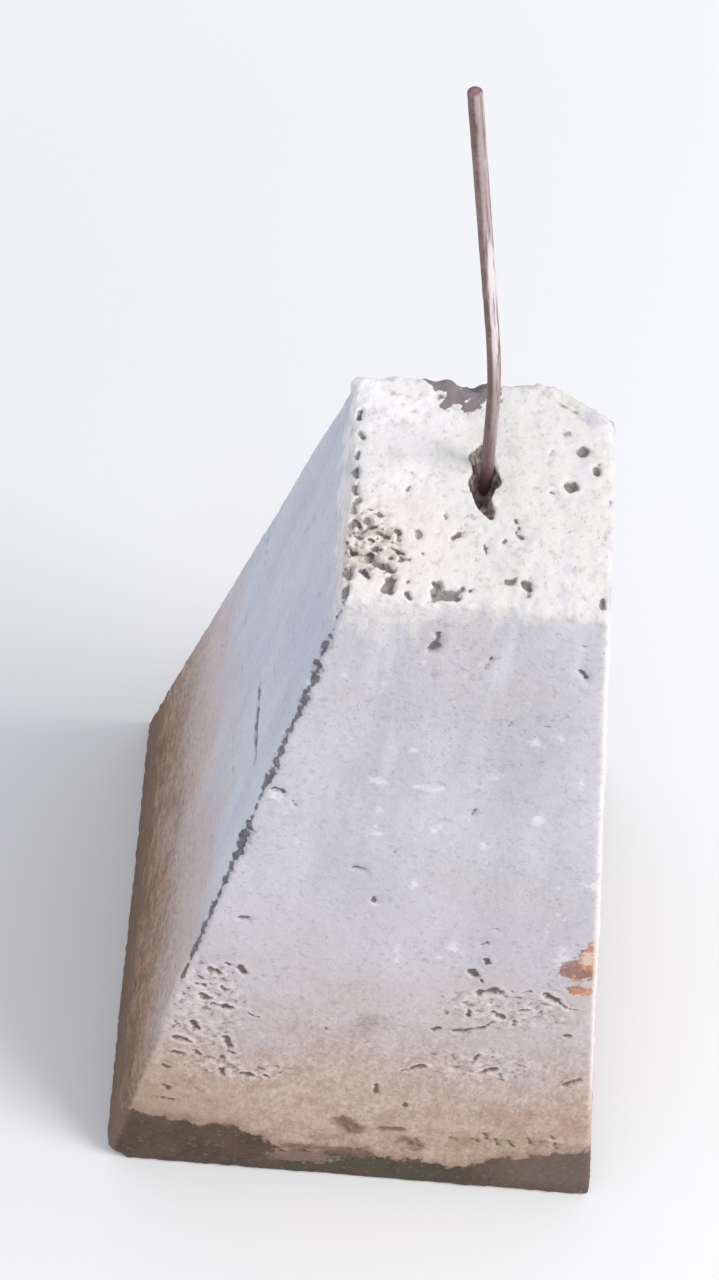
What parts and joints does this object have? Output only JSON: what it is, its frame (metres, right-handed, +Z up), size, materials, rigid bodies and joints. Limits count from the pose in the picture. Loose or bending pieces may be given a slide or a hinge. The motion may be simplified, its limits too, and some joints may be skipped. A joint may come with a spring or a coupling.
{
  "type": "concrete block",
  "caption": "Tall tapered concrete pier block with a wide square base, a small square top and a thin round steel tie bar, slightly bent, cast into the top.",
  "frame": {"origin": "centre of the square base, on the level it stands on", "axes": "+Z up, from the base to the small top; the front is -Y and the right side is +X; the tie bar leans towards -X"},
  "size_m": [0.299, 0.299, 0.8009],
  "materials": {
    "concrete": "smooth cast faces with small air holes, a trowelled chalky top and soil stains low down",
    "bar_steel": "plain round mild steel with a thin even coat of brown rust"
  },
  "bodies": {
    "root": {"concrete_block": "concrete", "tie_bar": "bar_steel"}
  },
  "joints": []
}
